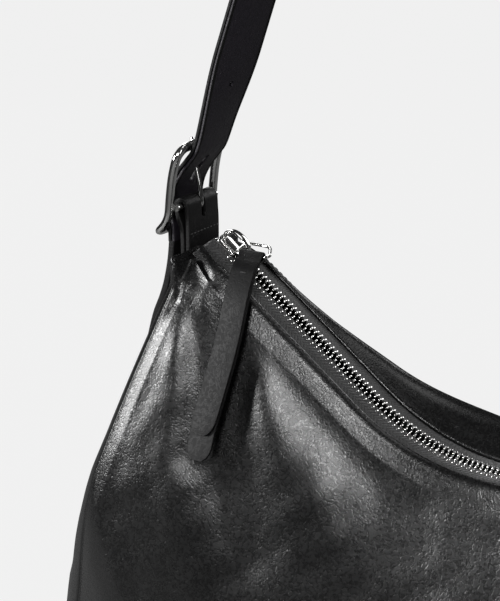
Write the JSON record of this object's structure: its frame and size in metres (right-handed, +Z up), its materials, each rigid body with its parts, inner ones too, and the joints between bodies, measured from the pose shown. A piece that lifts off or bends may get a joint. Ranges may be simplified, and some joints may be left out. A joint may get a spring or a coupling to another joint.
{
  "type": "hobo bag",
  "caption": "Slouchy leather shoulder bag with a dipped zip mouth, a buckled arching strap and a folded leather zip pull.",
  "frame": {"origin": "centre of the bag's footprint, on the ground", "axes": "+X along the bag, with the buckle at the -X end; -Y is the front, the side the zip pull hangs over; +Z up"},
  "size_m": [0.447, 0.1289, 0.565],
  "materials": {
    "body_leather": "semi-gloss black, fine wrinkles",
    "strap_leather": "satin black",
    "lining_cloth": "plain woven",
    "zip_tape": "herringbone tape",
    "polished_silver": "polished",
    "stiffener_board": "matte"
  },
  "bodies": {
    "bag": {"front_panel": "body_leather", "front_lining": "lining_cloth", "back_panel": "body_leather", "back_lining": "lining_cloth", "left_gusset": "body_leather", "left_side_lining": "lining_cloth", "right_gusset": "body_leather", "right_side_lining": "lining_cloth", "base_panel": "body_leather", "base_board": "stiffener_board", "base_lining": "lining_cloth", "front_zip_tape": "zip_tape", "front_zip_teeth": "polished_silver", "back_zip_tape": "zip_tape", "back_zip_teeth": "polished_silver", "front_top_stop": "polished_silver", "back_top_stop": "polished_silver", "zip_bottom_stop": "polished_silver", "left_tab": "strap_leather", "right_tab": "strap_leather"},
    "slider": {"slider_body": "polished_silver", "slider_crown": "polished_silver"},
    "ring": {"pull_ring": "polished_silver"},
    "pull": {"zip_pull_strip": "strap_leather"},
    "strap": {"strap_outer": "strap_leather", "strap_lining": "strap_leather", "strap_tail": "strap_leather", "buckle_frame": "polished_silver", "buckle_bar": "polished_silver"},
    "prong": {"buckle_prong": "polished_silver"}
  },
  "joints": [
    {"name": "zip_slide", "type": "slide", "parent": "bag", "child": "slider", "axis": [0.7986, 0, -0.6018], "range_m": [0, 0.08]},
    {"name": "ring_swing", "type": "hinge", "parent": "slider", "child": "ring", "pos_m": [-0.1368, 0, 0.26863], "axis": [0, -0.9708, -0.24], "range_deg": [0, 60]},
    {"name": "pull_swing", "type": "hinge", "parent": "ring", "child": "pull", "pos_m": [-0.1298, -0.00626, 0.26708], "axis": [-1, 0, 0], "range_deg": [0, 100]},
    {"name": "strap_swing", "type": "hinge", "parent": "bag", "child": "strap", "pos_m": [0, 0, 0.286], "axis": [1, 0, 0], "range_deg": [-80, 80], "deforming": ["left_tab", "right_tab"]},
    {"name": "prong_pivot", "type": "hinge", "parent": "strap", "child": "prong", "pos_m": [-0.1624, 0, 0.286], "axis": [0, -1, 0], "range_deg": [0, 8]}
  ]
}
